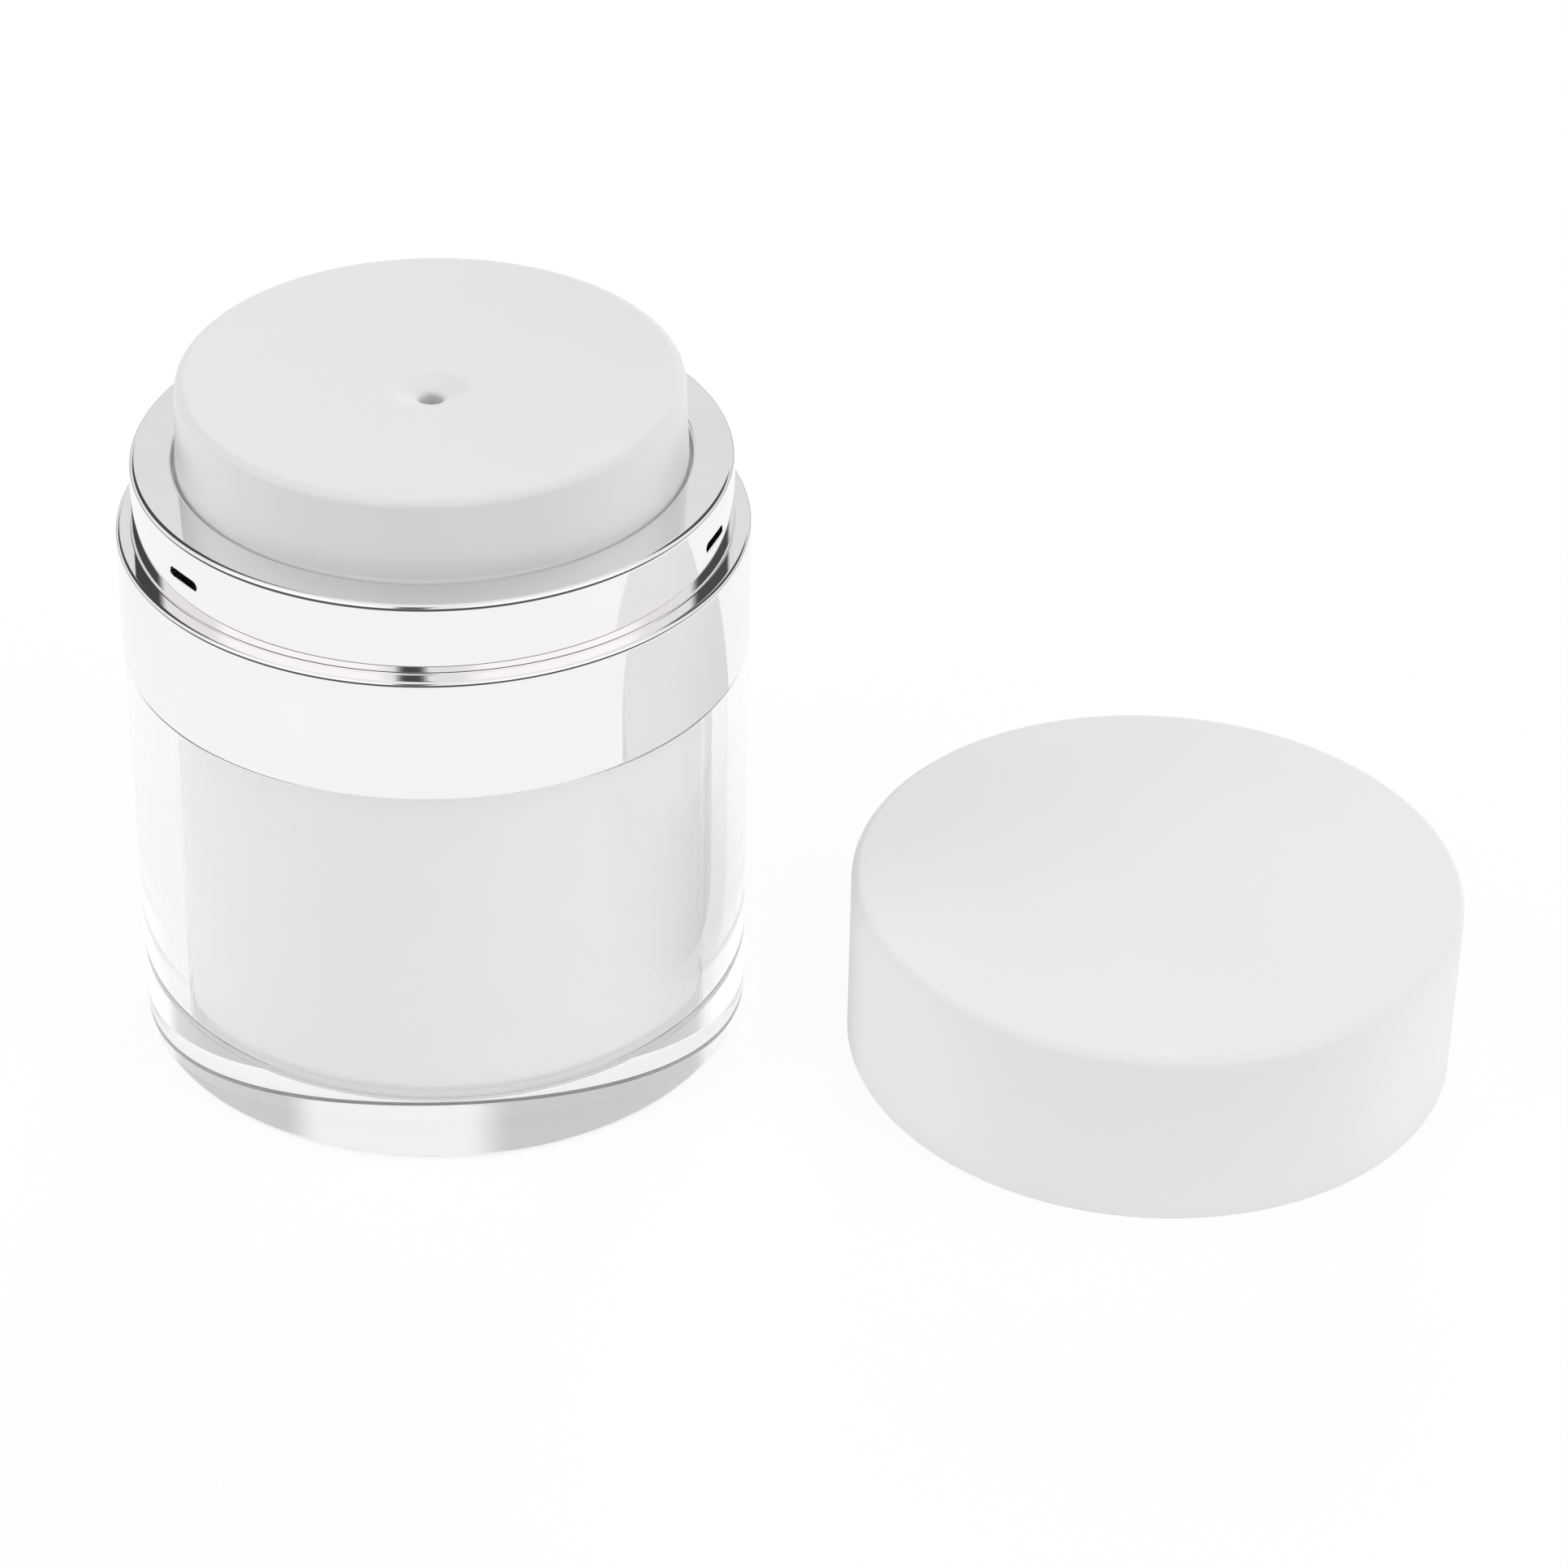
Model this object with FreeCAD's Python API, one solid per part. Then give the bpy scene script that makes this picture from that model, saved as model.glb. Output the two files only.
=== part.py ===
import FreeCAD, Part
import math
import os

# Airless pump jar: a clear jar with a white cup, a metallized collar, a push plate and a lid set down beside it.
# Millimetres. The origin is the centre of the jar's base, +Z is up and +X runs to the lid's centre.

# Driving sizes of the outside
band_radius = 31.0
band_height = 13.0
seam_height = 43.0
ledge_width = 1.7
annulus_width = 4.1
plate_proud = 2.4
lid_gap = 10.9

# Jar, cup and follower
jar_inset = 0.2
heel_radius = 0.8
shoulder_radius = 0.3
base_thickness = 5.0
neck_wall = 1.6
bore_heel_radius = 1.6
cup_gap = 0.4
cup_wall = 1.2
cup_floor_gap = 0.6
cup_floor = 1.2
cup_heel_radius = 2.0
flange_thickness = 1.2
flange_inset = 0.2
vent_radius = 0.8
vent_offset = 12.0
follower_height = 9.6
follower_rest_gap = 0.2
follower_clearance = 0.05
follower_web = 1.4
follower_rim = 1.4
lip_flare = 0.9
lip_edge = 0.5
lip_rise = 2.0

# Collar
collar_wall = 1.0
upper_wall = 1.1
ledge_thickness = 1.2
lip_thickness = 1.1
top_edge_radius = 0.6
ledge_edge_radius = 0.5
ledge_corner_radius = 0.2
collar_edge_radius = 0.3
skirt_lift = 1.0
slot_count = 3
slot_first_angle = -134.0
slot_length = 4.4
slot_height = 1.0
slot_above_ledge = 3.55

# Deck and gaskets
snap_clearance = 0.05
skirt_wall = 0.95
thread_room = 0.8
rim_thickness = 2.0
gasket_thickness = 0.8
gasket_inset = 0.2
plug_gap = 0.4
plug_wall = 1.2
deck_floor = 1.4
inlet_radius = 4.6
locator_wall = 1.2
locator_height = 3.0

# Pump
pump_stroke = 6.0
stroke_clearance = 0.6
cylinder_bore = 6.2
cylinder_wall = 1.2
cylinder_floor = 1.2
cylinder_gasket_thickness = 0.6
cap_thickness = 1.6
cap_skirt_wall = 0.75
cap_skirt_depth = 2.6
slide_clearance = 0.08
lost_motion = 0.8
stop_clearance = 0.3
seat_gap = 0.05
piston_height = 4.8
piston_lip_clearance = 0.05
piston_lip = 0.45
piston_hub_radius = 3.8
stem_body_radius = 4.0
stem_neck_radius = 2.6
stem_bore = 1.6
stem_port_radius = 0.6
tip_head_radius = 3.5
tip_head_height = 1.6
tip_shank_length = 1.4
valve_radius = 4.0
valve_thickness = 0.8
valve_lift = 0.8
valve_stem_radius = 0.75
valve_barb_radius = 1.2
valve_barb_height = 0.9
valve_port_count = 6
valve_port_radius = 0.75
valve_port_ring = 2.5
spring_wire_radius = 0.55
spring_clearance = 0.3
spring_turns = 8
spring_end_pitch = 1.6
quarters_per_turn = 4

# Push plate
plate_gap = 0.3
plate_draft = 0.4
plate_wall = 1.3
plate_thickness = 1.8
plate_edge_radius = 1.0
plate_hollow = 2.0
hollow_turn_rise = 0.25
hollow_turn_radius = 90.0
plate_catch = 1.0
plate_catch_thickness = 0.7
plate_rest_gap = 0.1
dimple_radius = 3.6
dimple_depth = 0.8
dimple_rim_radius = 3.0
discharge_radius = 1.2
discharge_edge_radius = 0.8
spigot_length = 3.6
guide_wall = 0.8
guide_depth = 2.0
rib_count = 6
rib_thickness = 1.0
rib_depth = 3.6
rib_inset = 0.6

# Lid
lid_inset = 0.2
lid_clearance = 0.3
lid_roof = 1.5
lid_edge_radius = 1.0
lid_rim_radius = 0.3
lid_headroom = 1.2
lug_reach = 0.2
lug_gap = 0.2
liner_thickness = 0.8
liner_wall = 1.2
liner_gap = 1.1
liner_seat_gap = 0.1

# Radii worked out from the outside inwards
jar_radius = band_radius - jar_inset
upper_band_radius = band_radius - ledge_width
opening_radius = upper_band_radius - annulus_width
collar_bore = band_radius - collar_wall
upper_bore = upper_band_radius - upper_wall
skirt_outer = collar_bore - snap_clearance
skirt_inner = skirt_outer - skirt_wall
neck_radius = skirt_inner - thread_room
jar_bore = neck_radius - neck_wall
cup_outer = jar_bore - cup_gap
cup_inner = cup_outer - cup_wall
follower_lip_radius = cup_inner - follower_clearance
plug_radius = cup_inner - plug_gap
dish_radius = plug_radius - plug_wall
flange_radius = neck_radius - flange_inset
plate_skirt_radius = opening_radius - plate_gap
plate_top_radius = plate_skirt_radius - plate_draft
lid_radius = band_radius - lid_inset
lid_distance = band_radius + lid_gap + lid_radius
lid_bore = upper_band_radius + lid_clearance
lug_radius = upper_band_radius - lug_reach

# Radii of the pump worked out from its bore
cylinder_outer = cylinder_bore + cylinder_wall
locator_inner = cylinder_outer + snap_clearance
locator_outer = locator_inner + locator_wall
cap_outer = locator_inner + cap_skirt_wall
guide_inner = cap_outer + stop_clearance
guide_outer = guide_inner + guide_wall
spring_inner = max(guide_outer, locator_outer) + spring_clearance
spring_radius = spring_inner + spring_wire_radius
spring_outer = spring_radius + spring_wire_radius
spring_seat_radius = spring_outer + rib_inset
spigot_radius = stem_neck_radius

# Heights from the ledge upwards
ledge_height = seam_height + band_height
deck_top = ledge_height - ledge_thickness
plate_bottom = deck_top + pump_stroke + stroke_clearance
catch_top = plate_bottom + plate_catch_thickness
lip_underside = catch_top + plate_rest_gap
collar_top = lip_underside + lip_thickness
plate_top = collar_top + pump_stroke + plate_proud
hollow_bottom = plate_top - plate_hollow
plate_rim_underside = plate_top - plate_thickness
plate_underside = hollow_bottom - plate_thickness

# Heights from the deck downwards
deck_rim_bottom = deck_top - rim_thickness
flange_top = deck_rim_bottom - gasket_thickness
neck_top = flange_top - flange_thickness

# Heights of the pump from the plate downwards
cap_top = plate_underside - pump_stroke - stroke_clearance
cap_bottom = cap_top - cap_thickness
piston_top = cap_bottom - lost_motion - stop_clearance
piston_bottom = piston_top - piston_height
tip_top = piston_bottom - seat_gap
tip_bottom = tip_top - tip_head_height
valve_highest = tip_bottom - pump_stroke - stop_clearance
bore_floor = valve_highest - valve_lift - valve_thickness - seat_gap
cylinder_bottom = bore_floor - cylinder_floor
deck_floor_top = cylinder_bottom - cylinder_gasket_thickness
deck_floor_bottom = deck_floor_top - deck_floor
stem_shoulder = piston_top + lost_motion + seat_gap

# Heights from the base upwards
cup_bottom = base_thickness + cup_floor_gap
cup_floor_top = cup_bottom + cup_floor
follower_bottom = cup_floor_top + follower_rest_gap
follower_top = follower_bottom + follower_height
cup_inner_heel = cup_heel_radius - cup_wall
lower_lip_bottom = cup_floor_top + cup_inner_heel + follower_rest_gap

# Heights of the lid, which stands on the ground
lid_roof_underside = plate_top - ledge_height + lid_headroom + liner_thickness
lid_height = lid_roof_underside + lid_roof
liner_underside = lid_roof_underside - liner_thickness
liner_bottom = collar_top - ledge_height + liner_seat_gap

ORIGIN = FreeCAD.Vector(0, 0, 0)
UP = FreeCAD.Vector(0, 0, 1)
OUTWARDS = FreeCAD.Vector(1, 0, 0)


def corner_arc(before, corner, after, radius):
    """Start, middle and end of the arc that rounds one corner of an outline."""
    if radius == 0:
        return corner, corner, corner
    to_before = (before - corner).normalize()
    to_after = (after - corner).normalize()
    half_angle = to_before.getAngle(to_after) / 2
    reach = radius / math.tan(half_angle)
    bisector = (to_before + to_after).normalize()
    middle = corner + bisector * (radius / math.sin(half_angle) - radius)
    return corner + to_before * reach, middle, corner + to_after * reach


def outline(corners):
    """Closed wire in the XZ plane from (radius, height) or (radius, height, corner radius) corners."""
    points = [FreeCAD.Vector(corner[0], 0, corner[1]) for corner in corners]
    radii = [corner[2] if len(corner) > 2 else 0 for corner in corners]
    following = points[1:] + points[:1]
    arcs = []
    for index, point in enumerate(points):
        arcs.append(corner_arc(points[index - 1], point, following[index], radii[index]))
    edges = []
    for (start, middle, end), (next_start, _, _) in zip(arcs, arcs[1:] + arcs[:1]):
        if start != end:
            edges.append(Part.Arc(start, middle, end).toShape())
        edges.append(Part.LineSegment(end, next_start).toShape())
    return Part.Wire(edges)


def lathe(corners, sweep=360):
    """Solid turned about the Z axis from an outline."""
    return Part.Face(outline(corners)).revolve(ORIGIN, UP, sweep)


def washer(inner, outer, bottom, top):
    """Flat ring."""
    return lathe([(inner, bottom), (outer, bottom), (outer, top), (inner, top)])


def around(shape, count, first_angle=0):
    """Copies of a shape spread evenly about the Z axis."""
    return [shape.rotated(ORIGIN, UP, first_angle + index * 360 / count) for index in range(count)]


def upright_hole(radius, distance, bottom, top):
    """Cutter for a hole parallel to Z."""
    return Part.makeCylinder(radius, top - bottom, FreeCAD.Vector(distance, 0, bottom), UP)


def outer_jar():
    """Clear jar with a thick base, a shoulder under the collar and a neck for the thread."""
    return lathe([
        (0, 0),
        (jar_radius, 0, heel_radius),
        (jar_radius, seam_height, shoulder_radius),
        (neck_radius, seam_height),
        (neck_radius, neck_top, shoulder_radius),
        (jar_bore, neck_top, shoulder_radius),
        (jar_bore, base_thickness, bore_heel_radius),
        (0, base_thickness),
    ])


def inner_cup():
    """White cup hung in the jar by its flange, with a vent under the follower."""
    cup = lathe([
        (0, cup_bottom),
        (cup_outer, cup_bottom, cup_heel_radius),
        (cup_outer, neck_top),
        (flange_radius, neck_top),
        (flange_radius, flange_top),
        (cup_inner, flange_top, shoulder_radius),
        (cup_inner, cup_floor_top, cup_inner_heel),
        (0, cup_floor_top),
    ])
    return cup.cut(upright_hole(vent_radius, vent_offset, cup_bottom - cup_floor, cup_floor_top + cup_floor))


def follower_piston():
    """Disc that rises in the cup, with a foot that rests on the cup's floor and two wiper lips."""
    rim_outer = follower_lip_radius - lip_flare
    rim_inner = rim_outer - follower_rim
    web_top = follower_top - lip_rise
    web_bottom = web_top - follower_web
    return lathe([
        (0, web_bottom),
        (rim_inner, web_bottom, shoulder_radius),
        (rim_inner, follower_bottom),
        (rim_outer, follower_bottom),
        (rim_outer, lower_lip_bottom + lip_rise / 2),
        (follower_lip_radius - lip_edge, lower_lip_bottom),
        (follower_lip_radius, lower_lip_bottom),
        (follower_lip_radius, lower_lip_bottom + lip_edge),
        (rim_outer, lower_lip_bottom + lip_rise),
        (rim_outer, web_top),
        (follower_lip_radius, follower_top - lip_edge),
        (follower_lip_radius, follower_top),
        (follower_lip_radius - lip_edge, follower_top),
        (rim_inner, web_top),
        (0, web_top),
    ])


def collar():
    """Metallized shoulder: lower band, ledge, slotted upper band and flat top ring."""
    shell = lathe([
        (band_radius, seam_height, collar_edge_radius),
        (band_radius, ledge_height, ledge_edge_radius),
        (upper_band_radius, ledge_height, ledge_corner_radius),
        (upper_band_radius, collar_top, top_edge_radius),
        (opening_radius, collar_top, collar_edge_radius),
        (opening_radius, lip_underside),
        (upper_bore, lip_underside, collar_edge_radius),
        (upper_bore, deck_top),
        (collar_bore, deck_top),
        (collar_bore, seam_height),
    ])
    slotted = shell.cut(around(lid_slot(), slot_count))
    return slotted.rotated(ORIGIN, UP, slot_first_angle)


def lid_slot():
    """Cutter for one round-ended slot in the upper band, facing +X."""
    half_run = (slot_length - slot_height) / 2
    inside = upper_bore - upper_wall
    depth = 3 * upper_wall
    middle = ledge_height + slot_above_ledge
    ends = [FreeCAD.Vector(inside, side * half_run, middle) for side in (-1, 1)]
    rounds = [Part.makeCylinder(slot_height / 2, depth, end, OUTWARDS) for end in ends]
    run = FreeCAD.Vector(inside, -half_run, middle - slot_height / 2)
    web = Part.makeBox(depth, 2 * half_run, slot_height, run)
    return web.fuse(rounds).removeSplitter()


def pump_deck():
    """Closure with a skirt round the neck and a dished plug that fills the cup's mouth."""
    return lathe([
        (inlet_radius, deck_floor_bottom),
        (plug_radius, deck_floor_bottom, plug_wall),
        (plug_radius, deck_rim_bottom),
        (skirt_inner, deck_rim_bottom),
        (skirt_inner, seam_height + skirt_lift),
        (skirt_outer, seam_height + skirt_lift),
        (skirt_outer, deck_top),
        (dish_radius, deck_top, shoulder_radius),
        (dish_radius, deck_floor_top, shoulder_radius),
        (locator_outer, deck_floor_top),
        (locator_outer, deck_floor_top + locator_height),
        (locator_inner, deck_floor_top + locator_height),
        (locator_inner, deck_floor_top),
        (inlet_radius, deck_floor_top),
    ])


def deck_gasket():
    """Seal between the deck's rim and the cup's flange."""
    return washer(cup_inner + gasket_inset, flange_radius - gasket_inset, flange_top, deck_rim_bottom)


def pump_cylinder():
    """Dosing chamber, with ports in its floor round the valve's hub."""
    cylinder = lathe([
        (valve_stem_radius + slide_clearance, cylinder_bottom),
        (cylinder_outer, cylinder_bottom),
        (cylinder_outer, cap_bottom),
        (cylinder_bore, cap_bottom, collar_edge_radius),
        (cylinder_bore, bore_floor, collar_edge_radius),
        (valve_stem_radius + slide_clearance, bore_floor),
    ])
    port = upright_hole(
        valve_port_radius, valve_port_ring, cylinder_bottom - cylinder_floor, bore_floor + cylinder_floor)
    return cylinder.cut(around(port, valve_port_count))


def cylinder_gasket():
    """Seal between the cylinder and the deck's floor."""
    return washer(inlet_radius + gasket_inset, cylinder_outer, deck_floor_top, cylinder_bottom)


def cylinder_cap():
    """Cap on the cylinder that guides the stem."""
    return lathe([
        (stem_body_radius + slide_clearance, cap_bottom),
        (locator_inner, cap_bottom),
        (locator_inner, cap_bottom - cap_skirt_depth),
        (cap_outer, cap_bottom - cap_skirt_depth),
        (cap_outer, cap_top, collar_edge_radius),
        (stem_body_radius + slide_clearance, cap_top, collar_edge_radius),
    ])


def inlet_valve():
    """Mushroom flap over the inlet ports, kept in its hub by a barb."""
    seat = bore_floor + seat_gap
    barb_top = cylinder_bottom - valve_lift - seat_gap
    return lathe([
        (0, barb_top - valve_barb_height),
        (valve_stem_radius, barb_top - valve_barb_height),
        (valve_barb_radius, barb_top),
        (valve_stem_radius, barb_top),
        (valve_stem_radius, seat),
        (valve_radius, seat),
        (valve_radius, seat + valve_thickness, valve_thickness / 2),
        (0, seat + valve_thickness),
    ])


def stem():
    """Hollow stem with a wide upper body, a slim neck for the piston and two cross ports."""
    tube = lathe([
        (stem_bore, tip_top),
        (stem_neck_radius, tip_top),
        (stem_neck_radius, stem_shoulder),
        (stem_body_radius, stem_shoulder, collar_edge_radius),
        (stem_body_radius, plate_underside),
        (spigot_radius + seat_gap, plate_underside),
        (spigot_radius + seat_gap, plate_underside - spigot_length - seat_gap),
        (stem_bore, plate_underside - spigot_length - seat_gap),
    ])
    height = piston_bottom + piston_height / 2
    start = FreeCAD.Vector(-stem_body_radius, 0, height)
    port = Part.makeCylinder(stem_port_radius, 2 * stem_body_radius, start, OUTWARDS)
    return tube.cut(around(port, 2))


def stem_tip():
    """Plug in the stem's lower end, with the head that the piston seats on."""
    shank = stem_bore - seat_gap
    return lathe([
        (0, tip_bottom),
        (tip_head_radius - tip_head_height / 2, tip_bottom),
        (tip_head_radius, tip_bottom + tip_head_height / 2),
        (tip_head_radius, tip_top),
        (shank, tip_top),
        (shank, tip_top + tip_shank_length, collar_edge_radius),
        (0, tip_top + tip_shank_length),
    ])


def piston_seal():
    """Piston with two lips that wipe the cylinder and a hub that slips on the stem."""
    lip = cylinder_bore - piston_lip_clearance
    hub = stem_neck_radius + slide_clearance
    waist = lip - piston_lip
    web_half = piston_height / 6
    middle = (piston_top + piston_bottom) / 2
    return lathe([
        (hub, piston_bottom),
        (piston_hub_radius, piston_bottom),
        (piston_hub_radius, middle - web_half),
        (waist - piston_lip, middle - web_half),
        (lip - piston_lip, piston_bottom),
        (lip, piston_bottom),
        (waist, middle - web_half),
        (waist, middle + web_half),
        (lip, piston_top),
        (lip - piston_lip, piston_top),
        (waist - piston_lip, middle + web_half),
        (piston_hub_radius, middle + web_half),
        (piston_hub_radius, piston_top),
        (hub, piston_top),
    ])


def push_plate():
    """Plate that is pressed to pump: hollowed top with a dimpled outlet, drafted skirt, catch, ribs and spigot."""
    skirt_inner_radius = plate_skirt_radius - plate_wall
    hollow_turn = (plate_top_radius + dimple_radius) / 2
    plate = lathe([
        (discharge_radius, hollow_bottom - dimple_depth, discharge_edge_radius),
        (dimple_radius, hollow_bottom, dimple_rim_radius),
        (hollow_turn, hollow_bottom + hollow_turn_rise, hollow_turn_radius),
        (plate_top_radius, plate_top, plate_edge_radius),
        (plate_skirt_radius, lip_underside),
        (plate_skirt_radius, catch_top),
        (plate_skirt_radius + plate_catch, catch_top),
        (plate_skirt_radius + plate_catch, plate_bottom),
        (skirt_inner_radius, plate_bottom),
        (plate_top_radius - plate_wall, plate_rim_underside, collar_edge_radius),
        (spring_seat_radius, plate_underside),
        (guide_outer, plate_underside),
        (guide_outer, plate_underside - guide_depth),
        (guide_inner, plate_underside - guide_depth),
        (guide_inner, plate_underside),
        (spigot_radius, plate_underside),
        (spigot_radius, plate_underside - spigot_length),
        (discharge_radius, plate_underside - spigot_length),
    ])
    return plate.fuse(plate_ribs()).removeSplitter()


def plate_ribs():
    """Tapered ribs under the plate from the spring's seat out to the skirt."""
    end = plate_skirt_radius - plate_wall / 2 - plate_draft
    inside = plate_thickness / 2
    profile = [
        (spring_seat_radius, plate_underside + inside),
        (end, plate_rim_underside + inside),
        (end, plate_rim_underside - rib_depth),
        (spring_seat_radius, plate_underside - rib_thickness),
    ]
    corners = [FreeCAD.Vector(radius, -rib_thickness / 2, height) for radius, height in profile]
    face = Part.Face(Part.makePolygon(corners + corners[:1]))
    return around(face.extrude(FreeCAD.Vector(0, rib_thickness, 0)), rib_count)


def spring_points():
    """Points and directions along the coil, one per quarter turn, with closer turns at both ends."""
    low = deck_floor_top + spring_wire_radius + seat_gap
    high = plate_underside - spring_wire_radius - seat_gap
    quarters = spring_turns * quarters_per_turn
    open_turns = spring_turns - 2
    open_pitch = (high - low - 2 * spring_end_pitch) / open_turns
    heights = [low]
    for quarter in range(quarters):
        at_end = quarter < quarters_per_turn or quarter >= quarters - quarters_per_turn
        pitch = spring_end_pitch if at_end else open_pitch
        heights.append(heights[-1] + pitch / quarters_per_turn)
    step = 2 * math.pi / quarters_per_turn
    points = []
    directions = []
    for quarter, height in enumerate(heights):
        angle = quarter * step
        rise = heights[min(quarter + 1, quarters)] - heights[max(quarter - 1, 0)]
        spans = min(quarter + 1, quarters) - max(quarter - 1, 0)
        slope = rise / spans / step
        points.append(FreeCAD.Vector(spring_radius * math.cos(angle), spring_radius * math.sin(angle), height))
        direction = FreeCAD.Vector(
            -spring_radius * math.sin(angle), spring_radius * math.cos(angle), slope)
        directions.append(direction.normalize())
    return points, directions


def arc_along(start, direction, end):
    """Arc from start to end that leaves start along a direction."""
    chord = end - start
    to_middle = (chord.normalize() + direction).normalize()
    length = (end - start).Length
    half_turn = math.acos(max(-1.0, min(1.0, direction.dot(chord)))) / 2
    middle = start + to_middle * (length / 2 / math.cos(half_turn))
    return Part.Arc(start, middle, end)


def biarc(start, start_direction, end, end_direction):
    """Two arcs that join two points and keep both directions."""
    span = end - start
    both = start_direction + end_direction
    along = span.dot(both)
    spread = 2 * (1 - start_direction.dot(end_direction))
    reach = (math.sqrt(along ** 2 + spread * span.dot(span)) - along) / spread
    joint = (start + end + (start_direction - end_direction) * reach) * 0.5
    first = arc_along(start, start_direction, joint)
    second = arc_along(end, end_direction * -1, joint)
    return [first.toShape(), second.toShape()]


def least_turn_gap(path):
    """Least distance between the surfaces of turns, measured on points along the path."""
    points = path.discretize(Number=spring_turns * 24)
    skip = 12
    gaps = []
    for index, point in enumerate(points):
        for other in points[index + skip:]:
            gaps.append(point.distanceToPoint(other) - 2 * spring_wire_radius)
    return min(gaps)


def return_spring():
    """Compression spring round the cylinder, as one wire from end to end."""
    points, directions = spring_points()
    run = 2 * spring_wire_radius
    level_start = FreeCAD.Vector(directions[0].x, directions[0].y, 0).normalize()
    level_end = FreeCAD.Vector(directions[-1].x, directions[-1].y, 0).normalize()
    directions[0] = level_start
    directions[-1] = level_end
    edges = [Part.LineSegment(points[0] - level_start * run, points[0]).toShape()]
    for index in range(len(points) - 1):
        edges += biarc(points[index], directions[index], points[index + 1], directions[index + 1])
    edges.append(Part.LineSegment(points[-1], points[-1] + level_end * run).toShape())
    path = Part.Wire(edges)
    section = Part.Wire(Part.Circle(points[0] - level_start * run, level_start, spring_wire_radius).toShape())
    spring = path.makePipeShell([section], True, False)
    straight_volume = path.Length * math.pi * spring_wire_radius ** 2
    print("spring: least gap between turns %.2f mm" % least_turn_gap(path))
    print("spring: volume over section times length %.4f" % (spring.Volume / straight_volume))
    return spring


def lid():
    """Plain lid, standing on its open rim beside the jar, with lugs that click into the collar's slots."""
    shell = lathe([
        (0, lid_roof_underside),
        (lid_bore, lid_roof_underside),
        (lid_bore, 0, lid_rim_radius),
        (lid_radius, 0, lid_rim_radius),
        (lid_radius, lid_height, lid_edge_radius),
        (0, lid_height),
    ])
    return placed_lid(shell.fuse(lid_lugs()).removeSplitter())


def lid_lugs():
    """Short rounded bars inside the lid, one for each slot of the collar."""
    half_height = slot_height / 2 - lug_gap / 2
    root = (lid_bore + lid_radius) / 2
    sweep = math.degrees((slot_length - slot_height) / lid_bore)
    bar = lathe([
        (lug_radius, slot_above_ledge - half_height, half_height / 2),
        (root, slot_above_ledge - half_height),
        (root, slot_above_ledge + half_height),
        (lug_radius, slot_above_ledge + half_height, half_height / 2),
    ], sweep)
    return around(bar, slot_count, slot_first_angle - sweep / 2)


def lid_liner():
    """Inner cap pressed into the lid, whose ring lands on the collar's top."""
    ring_inner = plate_skirt_radius + liner_gap
    ring_outer = ring_inner + liner_wall
    return placed_lid(lathe([
        (0, liner_underside),
        (ring_inner, liner_underside, shoulder_radius),
        (ring_inner, liner_bottom, shoulder_radius),
        (ring_outer, liner_bottom, shoulder_radius),
        (ring_outer, liner_underside, shoulder_radius),
        (lid_bore - snap_clearance, liner_underside),
        (lid_bore - snap_clearance, lid_roof_underside),
        (0, lid_roof_underside),
    ]))


def placed_lid(shape):
    """Moves a piece of the lid to where the lid stands."""
    return shape.translated(FreeCAD.Vector(lid_distance, 0, 0))


PIECES = [
    outer_jar, inner_cup, follower_piston, collar, pump_deck, deck_gasket, pump_cylinder, cylinder_gasket,
    cylinder_cap, inlet_valve, stem, stem_tip, piston_seal, push_plate, return_spring, lid, lid_liner,
]

os.makedirs("parts", exist_ok=True)
for piece in PIECES:
    solid = piece()
    solid.exportStep("parts/%s.step" % piece.__name__)
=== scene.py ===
"""Airless pump jar: finished pieces, materials and studio around its fixed frame, laid out as an add-on."""

import math

import bpy
import numpy as np
from bpy.props import FloatProperty, FloatVectorProperty, IntProperty, PointerProperty
from mathutils import Matrix, Vector


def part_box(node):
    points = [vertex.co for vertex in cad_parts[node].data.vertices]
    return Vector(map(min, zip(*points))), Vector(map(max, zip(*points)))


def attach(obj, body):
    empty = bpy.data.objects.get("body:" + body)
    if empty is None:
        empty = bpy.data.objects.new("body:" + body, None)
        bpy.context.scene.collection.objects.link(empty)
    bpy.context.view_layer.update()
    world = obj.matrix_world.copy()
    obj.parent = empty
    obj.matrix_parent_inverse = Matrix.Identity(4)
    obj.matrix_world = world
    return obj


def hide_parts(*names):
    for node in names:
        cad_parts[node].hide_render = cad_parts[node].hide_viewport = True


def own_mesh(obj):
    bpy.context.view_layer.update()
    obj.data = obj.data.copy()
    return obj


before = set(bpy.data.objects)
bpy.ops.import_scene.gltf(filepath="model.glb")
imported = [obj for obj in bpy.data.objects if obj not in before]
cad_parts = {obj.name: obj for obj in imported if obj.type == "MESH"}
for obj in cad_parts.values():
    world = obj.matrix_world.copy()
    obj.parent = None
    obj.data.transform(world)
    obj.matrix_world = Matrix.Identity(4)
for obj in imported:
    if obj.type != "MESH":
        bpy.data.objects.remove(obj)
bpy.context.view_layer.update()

bl_info = {
    "name": "Airless Pump Jar",
    "version": (1, 0, 0),
    "blender": (4, 5, 0),
    "location": "View3D > Sidebar > Airless Jar",
    "description": "Finished pieces, materials and studio for an airless pump jar and its lid",
    "category": "Object",
}

MM = 0.001
X, Y, Z = 0, 1, 2
ROUND_SEGMENTS = 288
CORNER_STEPS = 14
FEWEST_STEPS = 3
NECK_RINGS = 72
ON_OUTLINE = 0.01 * MM
AXIS_LIMIT = 1e-9
LEAST_AGREEMENT = 0.6
PATTERN_SPAN = (0.3, 0.7)


def length(name, description, millimetres):
    """Property for a size, given in millimetres and kept in metres."""
    return FloatProperty(
        name=name, description=description, default=millimetres * MM, min=0.0, precision=5,
        unit="LENGTH", subtype="DISTANCE")


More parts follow.
